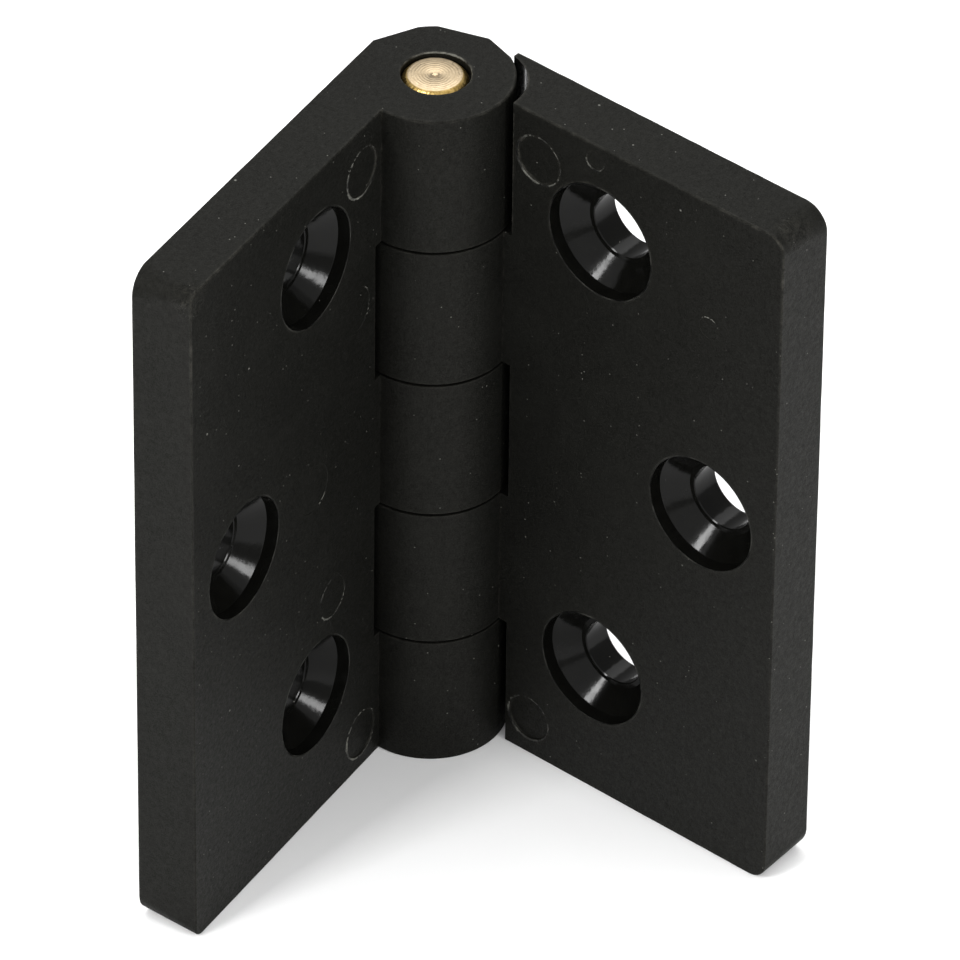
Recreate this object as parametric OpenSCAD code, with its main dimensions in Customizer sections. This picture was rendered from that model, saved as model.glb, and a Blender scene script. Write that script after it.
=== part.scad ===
// Butt hinge with two thick moulded leaves, five knuckles and a fixed round pin.
// Units are millimetres. The pin axis is parallel to Z.
// The origin is on the frame leaf's back face, straight behind the pin axis, at mid-height.
// The frame leaf reaches towards -X with its back face towards +Y.

/* [Leaves] */
// Height of both leaves and of the barrel
leaf_height = 60; // [56:2:80]
// Reach of a leaf from the pin axis to its outer edge
leaf_reach = 32; // [32:1:45]
// Thickness of a leaf
leaf_thickness = 5; // [4.5:0.1:5.2]
// Distance from the pin axis to a leaf's back face
back_offset = 6; // [6:0.1:6.3]
// Radius of the two outer corners of a leaf
corner_radius = 2; // [1:0.5:4]
// Angle between the two leaves as the hinge stands, 0 is closed and 180 is flat
open_angle = 80.4; // [0:0.1:200]

/* [Barrel] */
// Number of knuckles, shared in turn by the two leaves
knuckle_count = 5; // [3:2:7]
// Height of the lowest knuckle
bottom_knuckle = 11.4; // [7:0.1:13]
// Height of the highest knuckle
top_knuckle = 12; // [7:0.1:13]
// Outer diameter of the knuckles
barrel_diameter = 11.9; // [11.5:0.1:11.9]
// Gap between one knuckle and the next
knuckle_gap = 0.2; // [0.1:0.05:0.4]
// Radius of the hollow in a leaf's inner edge that clears the other leaf's knuckles
relief_radius = 4.5; // [4.4:0.1:6.4]
// Distance from the pin axis to the hollow's edge on the front face
relief_reach = 6.6; // [6.6:0.1:7.2]
// Distance from the pin axis to the square lip behind the hollow
lip_start = 2.9; // [2.9:0.05:3.3]
// Height of the lip's square edge
lip_height = 0.55; // [0.3:0.05:0.55]

/* [Pin] */
// Diameter of the pin
pin_diameter = 5; // [4:0.1:5.4]
// How far each end of the pin lies below the end of the barrel
pin_recess = 0.05; // [0:0.05:0.6]
// Size of the chamfer at each end of the pin
pin_chamfer = 0.45; // [0.2:0.05:0.8]
// Gap all round the pin in the door leaf's knuckles, which turn on it
running_clearance = 0.08; // [0.02:0.01:0.1]
// Widening of the bore all round at each end of the barrel
mouth_clearance = 0.1; // [0.05:0.05:0.3]
// Depth of the widened mouth
mouth_depth = 1; // [0.5:0.1:2]

/* [Screw holes] */
// Diameter of the hole that the screw passes through
hole_diameter = 5.3; // [4.5:0.1:5.5]
// Diameter of the countersink at the leaf's front face
rim_diameter = 9.6; // [9:0.1:10.4]
// Depth of the straight wall at the top of the countersink
rim_depth = 0.9; // [0.5:0.1:1.2]
// Diameter at the bottom of the countersink
seat_diameter = 6.2; // [5.8:0.1:6.6]
// Distance from the pin axis to the two holes nearest it
near_row = 15; // [14:0.5:18]
// Distance from the pin axis to the middle hole
far_row = 25; // [22:0.5:26]
// Height from one hole to the next
hole_pitch = 20; // [18:0.5:20]
// Height of the middle hole above mid-height
hole_rise = 1.5; // [0:0.1:2]

/* [Hidden] */

$fn = 96;
black_plastic = [0.06, 0.06, 0.062];
brass = [0.78, 0.64, 0.36];
overlap = 1;

front_offset = back_offset - leaf_thickness;
barrel_radius = barrel_diameter / 2;
// The knuckles between the lowest and the highest share the rest of the height equally
inner_pitch = (leaf_height - bottom_knuckle - top_knuckle) / (knuckle_count - 2);
// The hollow's arc joins the top of the lip to the edge of the front face
lip_corner = [lip_start, lip_height - back_offset];
front_corner = [relief_reach, -front_offset];
chord = front_corner - lip_corner;
chord_to_centre = sqrt(pow(relief_radius, 2) - pow(norm(chord) / 2, 2));
relief_centre = (lip_corner + front_corner) / 2 + [-chord[1], chord[0]] / norm(chord) * chord_to_centre;
pin_radius = pin_diameter / 2;
pin_length = leaf_height - 2 * pin_recess;
// The countersink's wall slopes at 45 degrees
seat_depth = rim_depth + (rim_diameter - seat_diameter) / 2;
// Back of each knuckle: three flats, as [degrees from the back normal, distance from the pin axis]
back_flats = [[32, 5.75], [81, 5.6], [115, 5.8]];

// The leaf modules work in a leaf's own frame: the pin axis is the Z axis, the leaf reaches
// towards +X, its front face looks towards +Y and Z = 0 is at mid-height.

// Height of the bottom of knuckle i, counted up from 0
function knuckle_bottom(i) =
    i == 0 ? -leaf_height / 2
    : i == knuckle_count ? leaf_height / 2
    : bottom_knuckle - leaf_height / 2 + (i - 1) * inner_pitch;
function knuckle_height(i) = knuckle_bottom(i + 1) - knuckle_bottom(i);
function hole_places() = [
    [near_row, hole_rise - hole_pitch],
    [far_row, hole_rise],
    [near_row, hole_rise + hole_pitch]
];

// A plate seen from its front, with round outer corners
module plate_outline() {
    half = leaf_height / 2;
    square_end = leaf_reach - corner_radius;
    translate([0, -half]) square([square_end, leaf_height]);
    translate([0, corner_radius - half]) square([leaf_reach, leaf_height - 2 * corner_radius]);
    for (side = [-1, 1]) translate([square_end, side * (half - corner_radius)]) circle(corner_radius);
}

module plate() {
    translate([0, -front_offset, 0]) rotate([90, 0, 0]) linear_extrude(leaf_thickness) plate_outline();
}

// What is taken from a leaf's inner edge beside each knuckle of the other leaf
module relief(bottom, height) {
    translate([0, 0, bottom]) linear_extrude(height) {
        translate(relief_centre) circle(relief_radius);
        translate([-overlap, -back_offset - overlap]) square([lip_start + overlap, back_offset]);
    }
}

// One knuckle with the root that ties it to its plate
module knuckle(bottom, height) {
    root_start = -2.5;
    root_end = relief_reach + overlap;
    block = 4 * barrel_diameter;
    translate([0, 0, bottom]) difference() {
        union() {
            cylinder(r = barrel_radius, h = height);
            translate([root_start, -back_offset, 0]) cube([root_end - root_start, leaf_thickness, height]);
        }
        for (flat = back_flats)
            rotate(-90 - flat[0]) translate([flat[1], -block / 2, -overlap]) {
                cube([block, block, height + 2 * overlap]);
            }
    }
}

module screw_hole() {
    rotate([90, 0, 0]) {
        translate([0, 0, -overlap]) cylinder(d = hole_diameter, h = leaf_thickness + 2 * overlap);
        translate([0, 0, -overlap]) cylinder(d = rim_diameter, h = overlap + rim_depth);
        translate([0, 0, rim_depth]) {
            cylinder(d1 = rim_diameter, d2 = seat_diameter, h = seat_depth - rim_depth);
        }
    }
}

// A leaf that owns every second knuckle, counted from first_knuckle
module leaf(first_knuckle, bore_radius) {
    difference() {
        union() {
            difference() {
                plate();
                for (i = [0 : knuckle_count - 1]) {
                    relief(knuckle_bottom(i) - knuckle_gap / 2, knuckle_height(i) + knuckle_gap);
                }
            }
            for (i = [first_knuckle : 2 : knuckle_count - 1]) {
                is_lowest = i == 0;
                is_highest = i == knuckle_count - 1;
                gap_below = is_lowest ? 0 : knuckle_gap / 2;
                gap_above = is_highest ? 0 : knuckle_gap / 2;
                knuckle(knuckle_bottom(i) + gap_below, knuckle_height(i) - gap_below - gap_above);
            }
        }
        cylinder(r = bore_radius, h = leaf_height + 2 * overlap, center = true);
        for (place = hole_places()) translate([place[0], -front_offset, place[1]]) screw_hole();
    }
}

module frame_leaf() {
    mouth_radius = pin_radius + mouth_clearance;
    mouth_height = mouth_depth + overlap;
    color(black_plastic) translate([0, -back_offset, 0]) rotate(180) difference() {
        leaf(0, pin_radius);
        translate([0, 0, leaf_height / 2 - mouth_depth]) cylinder(r = mouth_radius, h = mouth_height);
        translate([0, 0, -leaf_height / 2 - overlap]) cylinder(r = mouth_radius, h = mouth_height);
    }
}

module door_leaf() {
    color(black_plastic) translate([0, -back_offset, 0]) rotate(180 + open_angle) mirror([0, 1, 0]) {
        leaf(1, pin_radius + running_clearance);
    }
}

module hinge_pin() {
    face_radius = pin_radius - pin_chamfer;
    shank_length = pin_length - 2 * pin_chamfer;
    color(brass) translate([0, -back_offset, -pin_length / 2]) {
        cylinder(r1 = face_radius, r2 = pin_radius, h = pin_chamfer);
        translate([0, 0, pin_chamfer]) cylinder(r = pin_radius, h = shank_length);
        translate([0, 0, pin_chamfer + shank_length]) {
            cylinder(r1 = pin_radius, r2 = face_radius, h = pin_chamfer);
        }
    }
}

frame_leaf();
door_leaf();
hinge_pin();
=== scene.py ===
"""Butt hinge with two moulded black leaves and a brass pin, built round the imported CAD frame.

Lengths in this script are millimetres until a vertex is made. A leaf's own frame has its origin
at mid-height on the pin axis: s runs along the leaf away from the axis, t comes out of the front
face, and z runs up the pin.
"""

import math
import random

import bmesh
import bpy
from mathutils import Matrix, Quaternion, Vector


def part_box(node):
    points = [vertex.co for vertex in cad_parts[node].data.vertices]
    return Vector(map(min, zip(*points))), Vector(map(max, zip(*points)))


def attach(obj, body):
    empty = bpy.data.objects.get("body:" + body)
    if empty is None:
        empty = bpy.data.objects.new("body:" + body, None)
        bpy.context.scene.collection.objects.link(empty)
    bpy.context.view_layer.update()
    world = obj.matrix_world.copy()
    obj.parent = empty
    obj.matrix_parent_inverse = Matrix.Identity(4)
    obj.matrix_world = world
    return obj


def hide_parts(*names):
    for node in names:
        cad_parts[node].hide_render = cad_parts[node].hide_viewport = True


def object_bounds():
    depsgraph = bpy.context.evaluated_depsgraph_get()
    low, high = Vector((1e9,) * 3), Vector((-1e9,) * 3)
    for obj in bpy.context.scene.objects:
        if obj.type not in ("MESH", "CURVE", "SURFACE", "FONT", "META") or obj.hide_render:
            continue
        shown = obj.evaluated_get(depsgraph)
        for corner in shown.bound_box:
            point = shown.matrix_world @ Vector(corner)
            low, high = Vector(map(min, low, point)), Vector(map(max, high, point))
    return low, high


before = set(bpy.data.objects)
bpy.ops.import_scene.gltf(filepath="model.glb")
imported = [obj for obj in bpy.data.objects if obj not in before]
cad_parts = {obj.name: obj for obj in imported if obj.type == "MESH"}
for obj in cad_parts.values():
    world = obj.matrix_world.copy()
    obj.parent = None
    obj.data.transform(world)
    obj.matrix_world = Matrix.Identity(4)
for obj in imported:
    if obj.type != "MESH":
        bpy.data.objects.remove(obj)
cad_low, cad_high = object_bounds()

MM = 0.001

# Driving dimensions, taken from the frame
frame_low, frame_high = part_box("frame_leaf")
pin_low, pin_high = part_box("hinge_pin")
PIN_AXIS = Vector(((pin_low.x + pin_high.x) / 2, (pin_low.y + pin_high.y) / 2, 0))
PIN_RADIUS = (pin_high.x - pin_low.x) / 2 / MM
PIN_HALF = (pin_high.z - pin_low.z) / 2 / MM
HALF_HEIGHT = (frame_high.z - frame_low.z) / 2 / MM
REACH = -frame_low.x / MM
BACK = PIN_AXIS.y / MM

# The plates: their corners are tighter at the front than at the back, and their edges are broken
THICKNESS = 5.0
FRONT = BACK + THICKNESS
OPEN_ANGLE = 80.4
PLATE_START = -1.2
BACK_CORNER = 2.0
FRAME_FRONT_CORNER = 0.9
DOOR_FRONT_CORNER = 1.5
FRONT_BREAK = 0.13
BACK_BREAK = 0.07
FRONT_WAVER = 0.015
BACK_WAVER = 0.03

# The barrel's knuckles, with three flats on the back as (degrees from the back normal, distance)
BARREL_RADIUS = 5.95
KNUCKLES = 5
BOTTOM_KNUCKLE = 11.4
TOP_KNUCKLE = 12.0
SEAM = 0.2
SEAM_BREAK = 0.06
END_BREAK = 0.14
BACK_FLATS = [(32, 5.75), (81, 5.6), (115, 5.8)]

# The hollow beside the other leaf's knuckles: an arc from the front face down to a square lip.
# Each edge is broken by a few small steps (s, t) from its sharp corner.
RELIEF_RADIUS = 4.5
RELIEF_REACH = 6.6
LIP_START = 2.9
LIP_HEIGHT = 0.55
LIP_BACK_EDGE = [(0.02, -0.3), (0.02, 0.01), (0.0, 0.03)]
LIP_TOP_EDGE = [(0.0, -0.04), (0.04, 0.02)]
HOLLOW_FRONT_EDGE = [(-0.01, -0.07), (0.01, -0.03), (0.05, 0.01), (0.3, 0.5)]

# A hollow ends this far short of the leaf's own knuckles, so that no faces coincide
HOLLOW_END_GAP = 0.02

# The roots that tie the knuckles to their plate lie just inside its faces
ROOT_START = -2.5
ROOT_END = RELIEF_REACH + 1.2
ROOT_INSIDE = 0.03
ROOT_BACK_STEP = (2.0, 2.6)

# The pin's bore, and its mouths, which are widened mostly to one side
RUNNING_CLEARANCE = 0.08
MOUTH_OPEN_SIDE = 150
MOUTH_WIDEN = 0.1
MOUTH_LIP_WIDEN = 0.12
MOUTH_LIP_DEPTH = 0.12
MOUTH_DEPTH = 1.0
MOUTH_TAPER = 0.1

# Screw holes, the countersinks round them and their places (s, z)
HOLE_RADIUS = 2.65
RIM_RADIUS = 4.76
RIM_ROUND = 0.12
LAND_DRAFT = 0.1
LAND_DEPTH = 0.95
SEAT_RADIUS = 3.08
BACK_FLARE = 0.16
HOLE_RISE = 1.5
HOLE_PITCH = 20
NEAR_ROW = 15.0
FAR_ROW = 25.0
HOLES = [(NEAR_ROW, HOLE_RISE - HOLE_PITCH), (FAR_ROW, HOLE_RISE), (NEAR_ROW, HOLE_RISE + HOLE_PITCH)]

# Ejector and gate marks: (s, z, radius, depth, line's height, line's first and last degree).
# A line is thickest on one side, given in degrees from the leaf's own direction.
FRAME_HEAVY_SIDE = 320
DOOR_HEAVY_SIDE = 215
FRAME_MARKS = [
    (8.55, 26.1, 2.0, 0.10, 0.05, 0, 360),
    (9.5, 13.9, 2.0, 0.02, 0.03, 130, 250),
    (15.3, 1.3, 2.0, 0.02, 0.02, 190, 250),
    (12.6, -10.7, 1.7, 0.03, 0.03, 20, 330),
    (8.5, -26.75, 2.0, 0.10, 0.05, 0, 360),
]
DOOR_MARKS = [
    (9.1, 26.0, 2.0, 0.09, 0.05, 0, 360),
    (8.9, -26.6, 1.9, 0.12, 0.07, 0, 360),
    (25.3, 18.8, 0.9, 0.02, 0.02, 10, 130),
    (14.4, 28.6, 0.8, 0.02, 0.02, 190, 350),
]

# The pin's ends: a chamfer with a fluted rim
PIN_CHAMFER = 0.45
PIN_FACE = PIN_RADIUS - PIN_CHAMFER
FLUTES = 44
FLUTE_DEPTH = 0.035
PIN_STEPS = 176

# Where the leaves are rubbed and creased, as (in from the outer edge, t, down from the top)
FRAME_SCUFF = (0.4, FRONT - 0.2, 0.5)
DOOR_SCUFF = (0.7, FRONT - 2.2, 0.2)

# The floor stays this far below the hinge, so that no faces coincide
FLOOR_GAP = 0.02
FLOOR_HALF_SIZE = 3.0

# Steps of the curves, and how far a cutting shape reaches past what it cuts
ARC_STEPS = 96
ROUND_STEPS = 4
SEAM_ROUND_STEPS = 3
CORNER_STEPS = 8
SIDE_STEPS = 28
HOLLOW_STEPS = 24
BARREL_STEPS = 84
MARK_STEPS = 64
LINE_STEPS = 72
PAST = 1

# Material index of a leaf's faces: matt, polished by the mould's cores, hole rims, raised lines
MATT, POLISHED, RIMS, LINES = range(4)

# Colours, linear
PLASTIC_TINT = (0.0026, 0.0026, 0.0022)
RUBBED_EDGE = (0.045, 0.043, 0.036)
DUST = (0.28, 0.28, 0.25)
DUST_IN_HOLES = (0.20, 0.19, 0.17)
LINE_DARK = (0.003, 0.003, 0.0027)
# Hole rims and raised lines: pale colours that are partly wear and partly a painted highlight where the
# rims and lips catch the light
LINE_WEAR_AND_HIGHLIGHT = (0.042, 0.042, 0.037)
LINE_PALE_WEAR_AND_HIGHLIGHT = (0.15, 0.15, 0.13)
BRASS_FACE = [(0.395, 0.305, 0.193), (0.475, 0.38, 0.25)]
BRASS_RIM = [(0.30, 0.19, 0.05), (0.66, 0.47, 0.17)]
FLOOR_CARD = [(0.93, 0.93, 0.93), (0.96, 0.96, 0.96)]


# ---------------------------------------------------------------- mesh helpers


class LeafFrame:
    """Turns a leaf's own coordinates into the row frame."""

    def __init__(self, along, front):
        self.along = Vector((math.cos(math.radians(along)), math.sin(math.radians(along)), 0))
        self.front = Vector((math.cos(math.radians(front)), math.sin(math.radians(front)), 0))

    def point(self, s, t, z):
        return PIN_AXIS + (self.along * s + self.front * t + Vector((0, 0, z))) * MM


FRAME_LEAF = LeafFrame(180, 270)
DOOR_LEAF = LeafFrame(180 + OPEN_ANGLE, 90 + OPEN_ANGLE)


def linked_object(name, bm):
    """A new object in the scene with the mesh of bm, which is freed."""
    mesh = bpy.data.meshes.new(name)
    bm.to_mesh(mesh)
    bm.free()
    obj = bpy.data.objects.new(name, mesh)
    bpy.context.scene.collection.objects.link(obj)
    return obj


def loft(name, rings):
    """A closed solid through rings that have equally many points."""
    bm = bmesh.new()
    made = [[bm.verts.new(p) for p in ring] for ring in rings]
    count = len(made[0])
    for low, high in zip(made, made[1:]):
        for i in range(count):
            j = (i + 1) % count
            bm.faces.new((low[i], low[j], high[j], high[i]))
    bm.faces.new(made[0])
    bm.faces.new(made[-1])
    bmesh.ops.recalc_face_normals(bm, faces=bm.faces)
    return linked_object(name, bm)


def circle(radius, steps=ARC_STEPS):
    return [
        (radius * math.cos(2 * math.pi * i / steps), radius * math.sin(2 * math.pi * i / steps))
        for i in range(steps)
    ]


def join(name, objs):
    """One object holding the meshes of several."""
    bm = bmesh.new()
    for obj in objs:
        bm.from_mesh(obj.data)
        bpy.data.objects.remove(obj)
    return linked_object(name, bm)


def combine(obj, other, operation):
    """Adds or cuts other, which is used up."""
    step = obj.modifiers.new("combine", "BOOLEAN")
    step.object, step.operation, step.solver = other, operation, "MANIFOLD"
    bpy.context.view_layer.update()
    evaluated = obj.evaluated_get(bpy.context.evaluated_depsgraph_get())
    mesh = bpy.data.meshes.new_from_object(evaluated)
    obj.modifiers.remove(step)
    obj.data = mesh
    bpy.data.objects.remove(other)
    return obj


def quarter(steps=ROUND_STEPS):
    """Points of a quarter round of radius 1, as distances in from its two faces."""
    for i in range(steps + 1):
        turn = math.pi / 2 * i / steps
        yield 1 - math.sin(turn), 1 - math.cos(turn)


def inset_loop(loop, amount):
    """A closed 2-D loop, anticlockwise, moved inwards by amount."""
    moved = []
    count = len(loop)
    for i in range(count):
        (ax, ay), (bx, by), (cx, cy) = loop[i - 1], loop[i], loop[(i + 1) % count]
        before = Vector((bx - ax, by - ay)).normalized()
        after = Vector((cx - bx, cy - by)).normalized()
        normal = Vector((-before.y - after.y, before.x + after.x))
        normal /= max(normal.length_squared / 2, 0.5)
        moved.append((bx + normal.x * amount, by + normal.y * amount))
    return moved


def clip(loop, nx, ny, limit):
    """The part of a closed 2-D loop where nx * x + ny * y is at most limit."""
    kept = []
    for i, (x, y) in enumerate(loop):
        px, py = loop[i - 1]
        here, past = nx * x + ny * y - limit, nx * px + ny * py - limit
        if here * past < 0:
            share = past / (past - here)
            kept.append((px + (x - px) * share, py + (y - py) * share))
        if here <= 0:
            kept.append((x, y))
    return kept


def stepped(corner, steps):
    """Points given as small steps from one corner."""
    return [(corner[0] + ds, corner[1] + dt) for ds, dt in steps]


# ---------------------------------------------------------------- leaf parts


def knuckle_bottom(i):
    if i == 0:
        return -HALF_HEIGHT
    if i == KNUCKLES:
        return HALF_HEIGHT
    inner = (2 * HALF_HEIGHT - BOTTOM_KNUCKLE - TOP_KNUCKLE) / (KNUCKLES - 2)
    return BOTTOM_KNUCKLE - HALF_HEIGHT + (i - 1) * inner


def plate_outline(corner, inset):
    """The plate seen from its front as (s, z), set in by inset."""
    low, high = -HALF_HEIGHT + inset, HALF_HEIGHT - inset
    end = REACH - inset
    radius = corner - inset
    turns = [math.pi / 2 * i / CORNER_STEPS for i in range(CORNER_STEPS + 1)]
    points = []
    for i in range(SIDE_STEPS):
        points.append((PLATE_START + (end - radius - PLATE_START) * i / SIDE_STEPS, low))
    for turn in turns:
        s = end - radius + radius * math.sin(turn)
        points.append((s, low + radius - radius * math.cos(turn)))
    for i in range(1, SIDE_STEPS):
        points.append((end, low + radius + (high - low - 2 * radius) * i / SIDE_STEPS))
    for turn in turns:
        s = end - radius + radius * math.cos(turn)
        points.append((s, high - radius + radius * math.sin(turn)))
    for i in range(1, SIDE_STEPS + 1):
        points.append((end - radius + (PLATE_START - end + radius) * i / SIDE_STEPS, high))
    return points


def wavering(outline, waver):
    """An outline (s, z) whose points each lie a little further in."""
    return [(s - w, z - w * z / HALF_HEIGHT) for (s, z), w in zip(outline, waver)]


def plate(place, front_corner, rng):
    """A leaf's plate, with its front and back edges broken a little unevenly."""
    count = len(plate_outline(BACK_CORNER, 0))
    front_waver = [rng.uniform(0, FRONT_WAVER) for _ in range(count)]
    back_waver = [rng.uniform(0, BACK_WAVER) for _ in range(count)]
    rings = []
    for i, (inset, depth) in enumerate(quarter()):
        outline = plate_outline(front_corner, FRONT_BREAK * inset)
        if i > 0:
            outline = wavering(outline, front_waver)
        rings.append([place(s, FRONT - FRONT_BREAK * depth, z) for s, z in outline])
    for i, (depth, inset) in enumerate(quarter()):
        outline = plate_outline(BACK_CORNER, BACK_BREAK * inset)
        if i < ROUND_STEPS:
            outline = wavering(outline, back_waver)
        rings.append([place(s, BACK + BACK_BREAK * depth, z) for s, z in outline])
    return loft("plate", rings)


def relief_outline():
    """The hollow that clears the other leaf's knuckles, with the leaf's two inner edges just broken."""
    lip, edge = Vector((LIP_START, BACK + LIP_HEIGHT)), Vector((RELIEF_REACH, FRONT))
    chord = edge - lip
    to_centre = math.sqrt(RELIEF_RADIUS**2 - (chord.length / 2) ** 2)
    centre = (lip + edge) / 2 + Vector((-chord.y, chord.x)).normalized() * to_centre
    first = math.atan2(lip.y - centre.y, lip.x - centre.x)
    last = math.atan2(edge.y - centre.y, edge.x - centre.x)
    arc = []
    for i in range(1, HOLLOW_STEPS):
        turn = first + (last - first) * i / HOLLOW_STEPS
        s = centre.x + RELIEF_RADIUS * math.cos(turn)
        arc.append((s, centre.y + RELIEF_RADIUS * math.sin(turn)))
    back_edge = stepped((LIP_START, BACK), LIP_BACK_EDGE)
    top_edge = stepped((LIP_START, BACK + LIP_HEIGHT), LIP_TOP_EDGE)
    front_edge = stepped((RELIEF_REACH, FRONT), HOLLOW_FRONT_EDGE)
    past_front, past_start = 2, -3
    around = [(front_edge[-1][0], past_front), (past_start, past_front), (past_start, back_edge[0][1])]
    return [*back_edge, *top_edge, *arc, *front_edge, *around]


def relief(place, i):
    low = knuckle_bottom(i) - SEAM / 2 + HOLLOW_END_GAP
    high = knuckle_bottom(i + 1) + SEAM / 2 - HOLLOW_END_GAP
    if i == 0:
        low -= PAST
    if i == KNUCKLES - 1:
        high += PAST
    outline = relief_outline()
    return loft("relief", [[place(s, t, z) for s, t in outline] for z in (low, high)])


def knuckle_outline():
    """A knuckle and its root, seen along the pin, as (s, t)."""
    root_front, root_back = FRONT - ROOT_INSIDE, BACK + ROOT_INSIDE
    first = math.degrees(math.atan2(root_front, math.sqrt(BARREL_RADIUS**2 - FRONT**2)))
    last = math.degrees(math.atan2(-math.sqrt(BARREL_RADIUS**2 - ROOT_START**2), ROOT_START)) + 360
    loop = [(ROOT_END, root_front)]
    for i in range(BARREL_STEPS + 1):
        turn = math.radians(first + (last - first) * i / BARREL_STEPS)
        loop.append((BARREL_RADIUS * math.cos(turn), BARREL_RADIUS * math.sin(turn)))
    step_start, step_end = ROOT_BACK_STEP
    loop += [(ROOT_START, BACK), (step_start, BACK), (step_end, root_back), (ROOT_END, root_back)]
    for degrees, distance in BACK_FLATS:
        turn = math.radians(degrees)
        loop = clip(loop, -math.sin(turn), -math.cos(turn), distance)
    return loop


def knuckle(place, i):
    """One knuckle, with a larger break on an end that is also the barrel's end."""
    low, high = knuckle_bottom(i), knuckle_bottom(i + 1)
    low_break = high_break = SEAM_BREAK
    if i == 0:
        low_break = END_BREAK
    else:
        low += SEAM / 2
    if i == KNUCKLES - 1:
        high_break = END_BREAK
    else:
        high -= SEAM / 2
    loop = knuckle_outline()
    rings = []
    for inset, depth in quarter(SEAM_ROUND_STEPS):
        outline = inset_loop(loop, low_break * inset)
        rings.append([place(s, t, low + low_break * depth) for s, t in outline])
    for depth, inset in quarter(SEAM_ROUND_STEPS):
        outline = inset_loop(loop, high_break * inset)
        rings.append([place(s, t, high - high_break * depth) for s, t in outline])
    return loft("knuckle", rings)


def mouth_ring(radius, widen, rng):
    """A ring of the bore's mouth, which opens up towards one side with a ragged edge."""
    all_round, one_side = 0.25, 1.6
    points = []
    for i in range(ARC_STEPS):
        turn = 2 * math.pi * i / ARC_STEPS
        open_side = 0.5 + 0.5 * math.cos(turn - math.radians(MOUTH_OPEN_SIDE))
        ragged = rng.uniform(-0.02, 0.03) * widen / MOUTH_WIDEN
        r = radius + widen * (all_round + one_side * open_side) + ragged * open_side
        points.append((r * math.cos(turn), r * math.sin(turn)))
    return points


def bore(place, radius, has_mouths, rng):
    """The hole along the barrel, widened at both ends where it has mouths."""
    if not has_mouths:
        rings = [(-HALF_HEIGHT - PAST, circle(radius)), (HALF_HEIGHT + PAST, circle(radius))]
        return loft("bore", [[place(s, t, z) for s, t in ring] for z, ring in rings])
    wide = mouth_ring(radius, MOUTH_WIDEN, rng)
    lip = mouth_ring(radius + 0.02, MOUTH_LIP_WIDEN, rng)
    half = [
        (MOUTH_DEPTH, circle(radius)),
        (MOUTH_DEPTH - MOUTH_TAPER, wide),
        (MOUTH_LIP_DEPTH, wide),
        (0, lip),
        (-PAST, lip),
    ]
    rings = [(depth - HALF_HEIGHT, ring) for depth, ring in reversed(half)]
    rings += [(HALF_HEIGHT - depth, ring) for depth, ring in half]
    return loft("bore", [[place(s, t, z) for s, t in ring] for z, ring in rings])


def turned(place, s, z, profile, steps=ARC_STEPS):
    """A solid turned about an axis through the plate at (s, z), from (radius, depth below the front)."""
    rings = []
    for radius, depth in profile:
        rings.append([place(s + a, FRONT - depth, z + b) for a, b in circle(radius, steps)])
    return loft("turned", rings)


def screw_hole(place, s, z):
    """A rounded rim, a straight wall, a 90 degree seat, and a hole that flares at the back face."""
    rim = RIM_RADIUS + RIM_ROUND
    land = RIM_RADIUS - LAND_DRAFT
    seat_start = (land - 0.05, LAND_DEPTH + 0.03)
    seat_end = seat_start[1] + seat_start[0] - SEAT_RADIUS
    profile = [(rim, -PAST), (rim, -0.004)]
    for inset, depth in list(quarter())[1:]:
        profile.append((RIM_RADIUS + RIM_ROUND * inset, RIM_ROUND * (1 - depth)))
    profile += [(land, LAND_DEPTH), seat_start]
    profile += [(SEAT_RADIUS + 0.05, seat_end - 0.05), (SEAT_RADIUS, seat_end)]
    profile += [(HOLE_RADIUS + 0.07, seat_end + 0.01), (HOLE_RADIUS, seat_end + 0.08)]
    profile += [(HOLE_RADIUS, THICKNESS - 0.15), (HOLE_RADIUS + BACK_FLARE, THICKNESS + 0.01)]
    profile += [(HOLE_RADIUS + BACK_FLARE, THICKNESS + PAST)]
    return turned(place, s, z, profile)


def mark_recess(place, s, z, radius, depth):
    above, slope = 0.5, 0.6
    profile = [(radius, -above), (radius, 0.0), (radius - depth * slope, depth)]
    return turned(place, s, z, profile, MARK_STEPS)


def mark_line(place, s, z, radius, height, first, last, heavy_side, rng):
    """A thin raised line round part of a mark, heavier on one side and broken on the other."""
    foot, sunk = -0.04, -0.02
    bm = bmesh.new()
    rings = []
    for i in range(LINE_STEPS):
        turn = 2 * math.pi * i / LINE_STEPS
        heavy = 0.5 + 0.5 * math.cos(turn - math.radians(heavy_side))
        half_width = (0.07 + 0.11 * heavy) * rng.uniform(0.6, 1.3)
        shown = first <= math.degrees(turn) <= last and rng.random() > 0.4 * (1 - heavy)
        top = height * (0.5 + heavy) * rng.uniform(0.2, 1.0) if shown else sunk
        centre = radius + 0.03 + 0.04 * heavy + rng.uniform(-0.02, 0.02)
        crest = half_width * 0.35
        ring = []
        for dr, t in ((-half_width, foot), (half_width, foot), (crest, top), (-crest, top)):
            r = centre + dr
            point = place(s + r * math.cos(turn), FRONT + t, z + r * math.sin(turn))
            ring.append(bm.verts.new(point))
        rings.append(ring)
    for i in range(LINE_STEPS):
        a, b = rings[i], rings[(i + 1) % LINE_STEPS]
        for k in range(4):
            bm.faces.new((a[k], a[(k + 1) % 4], b[(k + 1) % 4], b[k]))
    bmesh.ops.recalc_face_normals(bm, faces=bm.faces)
    return linked_object("line", bm)


def finish_surface(obj):
    """Smooth shading with crisp edges, and normals that keep the flat faces flat."""
    obj.data.shade_smooth()
    obj.data.set_sharp_from_angle(angle=math.radians(35))
    weigh = obj.modifiers.new("weighted normals", "WEIGHTED_NORMAL")
    weigh.keep_sharp = True
    weigh.weight = 80


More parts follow.
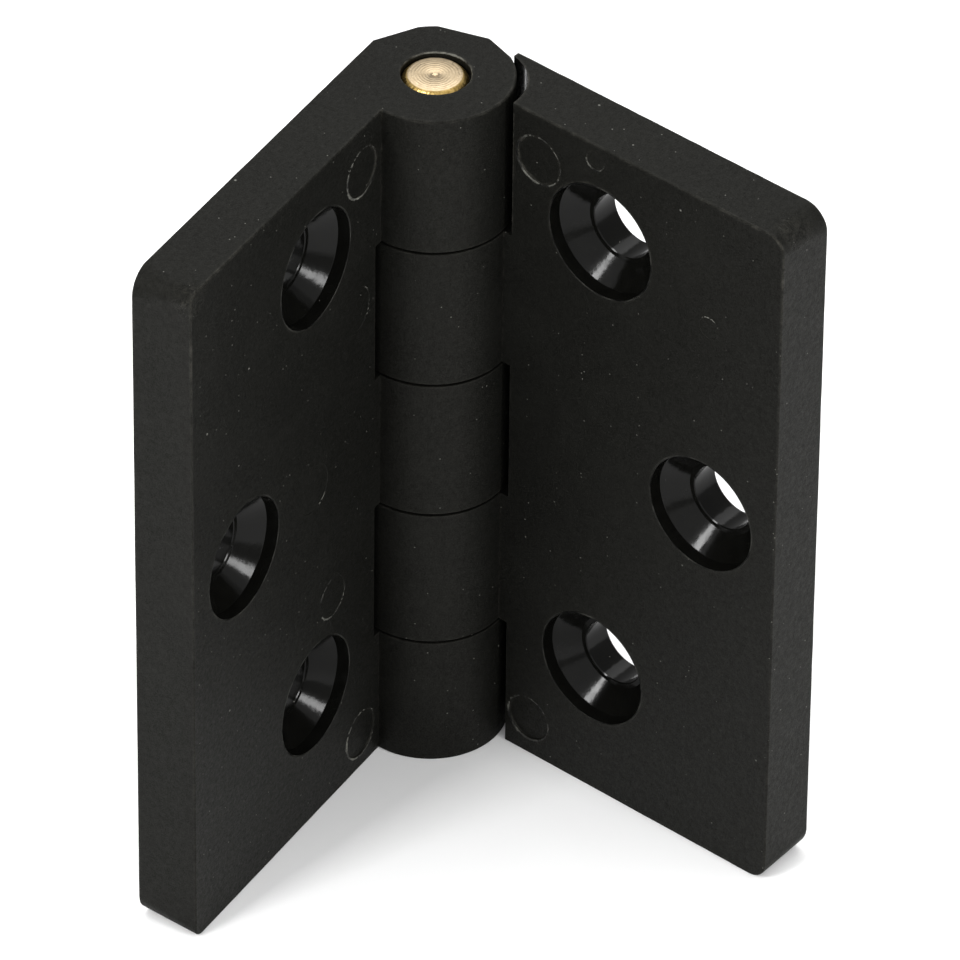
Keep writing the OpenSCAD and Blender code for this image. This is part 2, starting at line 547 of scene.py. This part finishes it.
def leaf_regions(obj, place_in):
    """Material index of each face, by where the middle of the face lies."""
    regions = []
    for face in obj.data.polygons:
        corners = [(obj.data.vertices[i].co - PIN_AXIS) / MM for i in face.vertices]
        spans = [(p.dot(place_in.along), p.dot(place_in.front), p.z) for p in corners]
        s, t, z = [(min(values) + max(values)) / 2 for values in zip(*spans)]
        across = math.hypot(s, t)
        below = FRONT - t
        in_hole = any(math.hypot(s - a, z - b) < RIM_RADIUS + RIM_ROUND for a, b in HOLES)
        faces_pin = across > BARREL_RADIUS + 0.1 and face.normal.dot(place_in.along) < -0.1
        from_end = HALF_HEIGHT - abs(z)
        on_mouth = across < PIN_RADIUS + 0.5 and 0.001 < from_end < MOUTH_LIP_DEPTH + 0.01
        on_line = s > RELIEF_REACH + 0.2 and below < -0.002
        if in_hole and 0.003 < below < RIM_ROUND:
            regions.append(RIMS)
        elif (in_hole and RIM_ROUND < below < THICKNESS - 0.1) or (faces_pin and below > 0.1):
            regions.append(POLISHED)
        elif on_mouth or on_line:
            regions.append(LINES)
        else:
            regions.append(MATT)
    return regions


def leaf(name, place_in, front_corner, first_knuckle, bore_radius, marks, heavy_side, seed):
    """A leaf that owns every second knuckle from first_knuckle, and its material regions."""
    rng = random.Random(seed)
    place = place_in.point
    obj = plate(place, front_corner, rng)
    others = [i for i in range(KNUCKLES) if (i - first_knuckle) % 2]
    obj = combine(obj, join("reliefs", [relief(place, i) for i in others]), "DIFFERENCE")
    own = [knuckle(place, i) for i in range(first_knuckle, KNUCKLES, 2)]
    obj = combine(obj, join("knuckles", own), "UNION")
    obj = combine(obj, bore(place, bore_radius, first_knuckle == 0, rng), "DIFFERENCE")
    lines = []
    for s, z, radius, _, height, first, last in marks:
        lines.append(mark_line(place, s, z, radius, height, first, last, heavy_side, rng))
    obj = combine(obj, join("lines", lines), "UNION")
    recesses = [mark_recess(place, s, z, radius, depth) for s, z, radius, depth, *_ in marks]
    obj = combine(obj, join("recesses", recesses), "DIFFERENCE")
    holes = [screw_hole(place, s, z) for s, z in HOLES]
    obj = combine(obj, join("holes", holes), "DIFFERENCE")
    obj.name = obj.data.name = name
    regions = leaf_regions(obj, place_in)
    finish_surface(obj)
    return obj, regions


def pin():
    """The brass pin: turned ends with a centre dimple and a fluted rim."""
    dimple = [(0.02, 0.14), (0.22, 0.10), (0.36, 0.02), (0.44, 0.0)]
    face = [(PIN_FACE - 0.06, 0.0), (PIN_FACE, 0.02), (PIN_FACE + 0.2, 0.2)]
    rim = [(PIN_RADIUS - 0.03, PIN_CHAMFER), (PIN_RADIUS - 0.005, PIN_CHAMFER + 0.1)]
    end = dimple + face + rim
    profile = [(r, depth - PIN_HALF) for r, depth in end]
    profile += [(r, PIN_HALF - depth) for r, depth in reversed(end)]
    rings = []
    for radius, z in profile:
        ring = []
        for i in range(PIN_STEPS):
            turn = 2 * math.pi * i / PIN_STEPS
            is_fluted = radius > PIN_FACE + 0.1
            flute = FLUTE_DEPTH * max(0.0, math.cos(FLUTES * turn)) if is_fluted else 0
            r = radius - flute
            ring.append(PIN_AXIS + Vector((r * math.cos(turn), r * math.sin(turn), z)) * MM)
        rings.append(ring)
    obj = loft("pin_brass", rings)
    obj.data.transform(Matrix.Translation(-PIN_AXIS))
    obj.location = PIN_AXIS
    obj.data.shade_smooth()
    obj.data.set_sharp_from_angle(angle=math.radians(38))
    return obj


# ---------------------------------------------------------------- materials


def times(colour, factor):
    return tuple(c * factor for c in colour)


class MaterialKit:
    """A new material with its shader, and short ways to add nodes that feed it."""

    def __init__(self, name):
        self.material = bpy.data.materials.new(name)
        self.material.use_nodes = True
        self.nodes, self.links = self.material.node_tree.nodes, self.material.node_tree.links
        self.shader = self.nodes["Principled BSDF"]
        self.place = self.nodes.new("ShaderNodeTexCoord")

    def feed(self, value, socket):
        """Links a node's output to a socket, or sets the socket to a number or a colour."""
        if isinstance(value, tuple):
            socket.default_value = (*value, 1)
        elif isinstance(value, (int, float)):
            socket.default_value = value
        else:
            self.links.new(value, socket)

    def drive(self, socket_name, value):
        """Links a node's output to the shader."""
        self.links.new(value, self.shader.inputs[socket_name])

    def noise(self, scale, detail=2.0, roughness=0.5, distortion=0.0):
        n = self.nodes.new("ShaderNodeTexNoise")
        n.inputs["Scale"].default_value = scale
        n.inputs["Detail"].default_value = detail
        n.inputs["Roughness"].default_value = roughness
        n.inputs["Distortion"].default_value = distortion
        self.links.new(self.place.outputs["Object"], n.inputs["Vector"])
        return n.outputs["Fac"]

    def remap(self, value, low, high, to_low, to_high):
        n = self.nodes.new("ShaderNodeMapRange")
        n.inputs["From Min"].default_value, n.inputs["From Max"].default_value = low, high
        n.inputs["To Min"].default_value, n.inputs["To Max"].default_value = to_low, to_high
        self.links.new(value, n.inputs["Value"])
        return n.outputs["Result"]

    def math(self, operation, a, b=0):
        n = self.nodes.new("ShaderNodeMath")
        n.operation = operation
        self.feed(a, n.inputs[0])
        self.feed(b, n.inputs[1])
        return n.outputs["Value"]

    def vector_math(self, operation, a, b):
        """A number from two vectors, of which b may be a fixed point."""
        n = self.nodes.new("ShaderNodeVectorMath")
        n.operation = operation
        self.links.new(a, n.inputs[0])
        if isinstance(b, Vector):
            n.inputs[1].default_value = b
        else:
            self.links.new(b, n.inputs[1])
        return n.outputs["Value"]

    def mix(self, factor, a, b):
        n = self.nodes.new("ShaderNodeMix")
        n.data_type = "RGBA"
        self.links.new(factor, n.inputs["Factor"])
        self.feed(a, n.inputs["A"])
        self.feed(b, n.inputs["B"])
        return n.outputs["Result"]

    def bump(self, height, strength, distance, after=None):
        n = self.nodes.new("ShaderNodeBump")
        n.inputs["Strength"].default_value = strength
        n.inputs["Distance"].default_value = distance
        self.links.new(height, n.inputs["Height"])
        if after is not None:
            self.links.new(after, n.inputs["Normal"])
        return n.outputs["Normal"]

    def specks(self, scale, size, share):
        """Sparse round specks, such as dust: 1 on a speck and 0 elsewhere."""
        cells = self.nodes.new("ShaderNodeTexVoronoi")
        cells.inputs["Scale"].default_value = scale
        self.links.new(self.place.outputs["Object"], cells.inputs["Vector"])
        near = self.remap(cells.outputs["Distance"], size, size * 0.5, 0, 1)
        split = self.nodes.new("ShaderNodeSeparateColor")
        self.links.new(cells.outputs["Color"], split.inputs["Color"])
        chosen = self.math("LESS_THAN", split.outputs["Red"], share)
        return self.math("MULTIPLY", near, chosen)

    def closeness(self, point, reach):
        """1 at a point of the mesh, falling to 0 at reach millimetres from it."""
        away = self.vector_math("DISTANCE", self.place.outputs["Object"], point)
        return self.remap(away, reach * MM, 0, 0, 1)


def moulded_plastic(name, corner, barrel_end, scuff):
    """Matt black plastic: grain, smudges, dust, edges rubbed near two places and a creased scuff."""
    kit = MaterialKit(name)
    grain = kit.noise(8500, 2, 0.6)
    mottle = kit.noise(2400, 3, 0.6)
    smudge = kit.remap(kit.noise(140, 5, 0.65, 0.6), 0.45, 0.72, 0, 1)

    bevel = kit.nodes.new("ShaderNodeBevel")
    bevel.samples = 4
    bevel.inputs["Radius"].default_value = 0.35 * MM
    geometry = kit.nodes.new("ShaderNodeNewGeometry")
    turn = kit.vector_math("DOT_PRODUCT", bevel.outputs["Normal"], geometry.outputs["Normal"])
    patchy = kit.remap(kit.noise(1100, 5, 0.75), 0.44, 0.62, 0.05, 1)
    rubbed = kit.math("MULTIPLY", kit.remap(turn, 0.99, 0.88, 0, 1), patchy)
    exposed = kit.math("MAXIMUM", kit.closeness(corner, 12), kit.closeness(barrel_end, 14))
    rubbed = kit.math("MULTIPLY", rubbed, kit.remap(exposed, 0, 0.7, 0.3, 1))

    creases = kit.remap(kit.noise(1700, 6, 0.8, 0.8), 0.44, 0.58, 0, 1)
    creases = kit.math("MULTIPLY", creases, kit.remap(kit.closeness(scuff, 1.9), 0, 0.6, 0, 1))
    dust = kit.math("ADD", kit.specks(700, 0.08, 0.05), kit.specks(2300, 0.14, 0.09))

    base = kit.remap(kit.noise(420, 3), 0.3, 0.7, 0, 1)
    base = kit.mix(base, PLASTIC_TINT, times(PLASTIC_TINT, 1.35))
    base = kit.mix(kit.remap(grain, 0.35, 0.7, 0, 0.8), base, times(PLASTIC_TINT, 2.2))
    base = kit.mix(kit.math("MULTIPLY", smudge, 0.5), base, times(PLASTIC_TINT, 2.0))
    pale_patches = kit.math("MAXIMUM", rubbed, kit.math("MULTIPLY", creases, 0.3))
    base = kit.mix(pale_patches, base, RUBBED_EDGE)
    base = kit.mix(kit.math("MULTIPLY", dust, 0.5), base, DUST)
    kit.drive("Base Color", base)

    rough = kit.remap(kit.noise(2600, 3), 0.3, 0.7, 0.50, 0.60)
    rough = kit.math("ADD", rough, kit.math("MULTIPLY", smudge, 0.06))
    kit.drive("Roughness", kit.math("SUBTRACT", rough, kit.math("MULTIPLY", rubbed, 0.12)))

    shine = kit.remap(mottle, 0.3, 0.7, 0.105, 0.165)
    shine = kit.math("ADD", shine, kit.remap(grain, 0.3, 0.7, -0.045, 0.045))
    kit.drive("Specular IOR Level", kit.math("ADD", shine, kit.math("MULTIPLY", smudge, 0.02)))

    texture = kit.bump(grain, 0.5, 0.03 * MM)
    texture = kit.bump(mottle, 0.4, 0.06 * MM, texture)
    kit.drive("Normal", kit.bump(creases, 0.8, 0.08 * MM, texture))
    kit.shader.inputs["IOR"].default_value = 1.45
    kit.shader.inputs["Specular Tint"].default_value = (1, 1, 0.9, 1)
    return kit.material


def polished_plastic(name):
    """The same plastic where a polished core pin formed it: shiny, with faint ripples and dust."""
    kit = MaterialKit(name)
    cloudy = kit.remap(kit.noise(700, 3), 0.3, 0.7, 0, 1)
    base = kit.mix(cloudy, PLASTIC_TINT, times(PLASTIC_TINT, 1.5))
    dust = kit.math("MULTIPLY", kit.specks(1500, 0.08, 0.12), 0.8)
    kit.drive("Base Color", kit.mix(dust, base, DUST_IN_HOLES))
    kit.drive("Roughness", kit.remap(kit.noise(1500, 4), 0.3, 0.7, 0.11, 0.17))
    kit.drive("Normal", kit.bump(kit.noise(900, 3), 0.3, 0.06 * MM))
    kit.shader.inputs["IOR"].default_value = 1.5
    kit.shader.inputs["Specular IOR Level"].default_value = 0.12
    return kit.material


def raised_line(name, paleness):
    """The hole rims and the raised lines round the marks, pale in broken patches: partly wear and partly
    a painted highlight for the light that the rims and lips catch.
    """
    kit = MaterialKit(name)
    # Pale patches: partly wear, partly a painted highlight on the rims and lips
    pale_patches = kit.remap(kit.noise(650, 5, 0.7), 0.42, 0.66, 0, 1)
    pale = kit.remap(kit.noise(330, 3, 0.6), 0.44, 0.56, 0, paleness)
    # The pale colour is partly wear and partly a painted highlight
    base = kit.mix(pale_patches, LINE_DARK, LINE_WEAR_AND_HIGHLIGHT)
    kit.drive("Base Color", kit.mix(kit.math("MULTIPLY", pale_patches, pale), base, LINE_PALE_WEAR_AND_HIGHLIGHT))
    kit.drive("Roughness", kit.remap(pale_patches, 0, 1, 0.55, 0.7))
    kit.drive("Normal", kit.bump(kit.noise(5200, 3), 0.5, 0.04 * MM))
    kit.shader.inputs["Specular IOR Level"].default_value = 0.2
    return kit.material


def pin_brass():
    """Pale brass with turning marks on its face, a deeper gold round its rim, and small nicks."""
    kit = MaterialKit("pin_brass")
    rings = kit.nodes.new("ShaderNodeTexWave")
    rings.wave_type, rings.rings_direction = "RINGS", "Z"
    rings.inputs["Scale"].default_value = 1400
    rings.inputs["Distortion"].default_value = 1.5
    rings.inputs["Detail"].default_value = 2
    kit.links.new(kit.place.outputs["Object"], rings.inputs["Vector"])

    split = kit.nodes.new("ShaderNodeSeparateXYZ")
    kit.links.new(kit.place.outputs["Object"], split.inputs["Vector"])
    squares = [kit.math("MULTIPLY", split.outputs[axis], split.outputs[axis]) for axis in ("X", "Y")]
    away = kit.math("SQRT", kit.math("ADD", *squares))
    rim = kit.remap(away, (PIN_FACE - 0.05) * MM, (PIN_FACE + 0.05) * MM, 0, 1)
    tone = kit.remap(kit.noise(2400, 4, 0.6), 0.3, 0.7, 0, 1)
    kit.drive("Base Color", kit.mix(rim, kit.mix(tone, *BRASS_FACE), kit.mix(tone, *BRASS_RIM)))

    kit.drive("Roughness", kit.remap(kit.noise(3000, 3), 0.3, 0.7, 0.26, 0.42))
    marks = kit.bump(rings.outputs["Fac"], 0.25, 0.03 * MM)
    kit.drive("Normal", kit.bump(kit.noise(5200, 3), 0.3, 0.03 * MM, marks))
    kit.shader.inputs["Metallic"].default_value = 1.0
    return kit.material


def floor_card():
    kit = MaterialKit("floor_card")
    tone = kit.remap(kit.noise(3, 3), 0.3, 0.7, 0, 1)
    kit.drive("Base Color", kit.mix(tone, *FLOOR_CARD))
    kit.shader.inputs["Roughness"].default_value = 0.9
    return kit.material


# ---------------------------------------------------------------- the hinge


def dress_leaf(obj, regions, place_in, scuff, slot, body, node):
    """Gives a leaf its materials, named after its material slot, ties it to its body and hides its CAD
    node.
    """
    corner = place_in.point(REACH, FRONT, HALF_HEIGHT)
    barrel_end = FRAME_LEAF.point(0, BARREL_RADIUS, HALF_HEIGHT)
    inwards, t, down = scuff
    scuff_centre = place_in.point(REACH - inwards, t, HALF_HEIGHT - down)
    materials = {
        MATT: moulded_plastic(slot, corner, barrel_end, scuff_centre),
        POLISHED: polished_plastic(slot + "_polished"),
        # Rims and raised lines: pale colours that are partly wear and partly a painted highlight
        RIMS: raised_line(slot + "_rims", 0.1),
        LINES: raised_line(slot + "_flash_and_highlight", 1.0),
    }
    obj.data.materials.clear()
    for region in sorted(materials):
        obj.data.materials.append(materials[region])
    for face, region in zip(obj.data.polygons, regions):
        face.material_index = region
    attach(obj, body)
    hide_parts(node)


frame_leaf, frame_regions = leaf(
    "frame_leaf_moulding",
    FRAME_LEAF,
    FRAME_FRONT_CORNER,
    first_knuckle=0,
    bore_radius=PIN_RADIUS,
    marks=FRAME_MARKS,
    heavy_side=FRAME_HEAVY_SIDE,
    seed=11,
)
slot = "frame_leaf_plastic"
dress_leaf(frame_leaf, frame_regions, FRAME_LEAF, FRAME_SCUFF, slot, "frame_leaf", "frame_leaf")

door_leaf, door_regions = leaf(
    "door_leaf_moulding",
    DOOR_LEAF,
    DOOR_FRONT_CORNER,
    first_knuckle=1,
    bore_radius=PIN_RADIUS + RUNNING_CLEARANCE,
    marks=DOOR_MARKS,
    heavy_side=DOOR_HEAVY_SIDE,
    seed=23,
)
slot = "door_leaf_plastic"
dress_leaf(door_leaf, door_regions, DOOR_LEAF, DOOR_SCUFF, slot, "door_leaf", "door_leaf")

brass = pin()
brass.data.materials.append(pin_brass())
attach(brass, "frame_leaf")
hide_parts("hinge_pin")


# ---------------------------------------------------------------- the studio


def direction(azimuth, elevation):
    """A unit vector away from the hinge. Azimuth 0 points towards -Y, and 90 towards +X."""
    a, e = math.radians(azimuth), math.radians(elevation)
    return Vector((math.sin(a) * math.cos(e), -math.cos(a) * math.cos(e), math.sin(e)))


def floor():
    bm = bmesh.new()
    bmesh.ops.create_grid(bm, x_segments=2, y_segments=2, size=FLOOR_HALF_SIZE)
    obj = linked_object("floor", bm)
    obj.location = (0, 0, cad_low.z - FLOOR_GAP * MM)
    obj.data.materials.append(floor_card())


def soft_light(name, azimuth, elevation, distance, size, power):
    """A square soft box that faces the hinge. Distance and size are in metres, power in watts."""
    away = direction(azimuth, elevation)
    data = bpy.data.lights.new(name, "AREA")
    data.shape, data.size, data.energy = "SQUARE", size, power
    obj = bpy.data.objects.new(name, data)
    obj.location = away * distance
    obj.rotation_mode = "QUATERNION"
    obj.rotation_quaternion = away.to_track_quat("Z", "Y")
    bpy.context.scene.collection.objects.link(obj)


def studio():
    """A pale surround, four large soft boxes, and two small ones for the glints in the holes."""
    world = bpy.data.worlds.new("studio")
    world.use_nodes = True
    world.node_tree.nodes["Background"].inputs["Color"].default_value = (1, 1, 1, 1)
    world.node_tree.nodes["Background"].inputs["Strength"].default_value = 0.57
    bpy.context.scene.world = world
    soft_light("key_light", -10, 45, 1.2, 1.2, 3.0)
    soft_light("side_light", -70, 30, 1.2, 1.0, 2.55)
    soft_light("top_light", 120, 65, 1.3, 1.2, 11.5)
    soft_light("back_left_light", -122, 42, 1.3, 1.0, 2.6)
    soft_light("key_glint", -10, 23, 0.45, 0.09, 0.74)
    soft_light("side_glint", -107, 41, 0.45, 0.085, 0.95)


def camera():
    """Long lens, looking down at the inside of the open hinge from beyond the frame leaf's front."""
    away = direction(-59.62, 38.377)
    roll = math.radians(0.658)
    aim = Vector((0.208, -10.065, -6.2)) * MM
    distance = 856.08 * MM
    data = bpy.data.cameras.new("camera")
    data.sensor_width = 36
    data.lens = 430.31
    data.clip_start, data.clip_end = 0.05, 20
    obj = bpy.data.objects.new("camera", data)
    obj.location = aim + away * distance
    obj.rotation_mode = "QUATERNION"
    obj.rotation_quaternion = away.to_track_quat("Z", "Y") @ Quaternion((0, 0, 1), roll)
    bpy.context.scene.collection.objects.link(obj)
    bpy.context.scene.camera = obj


camera()
floor()
studio()
bpy.context.scene.view_settings.view_transform = "Standard"
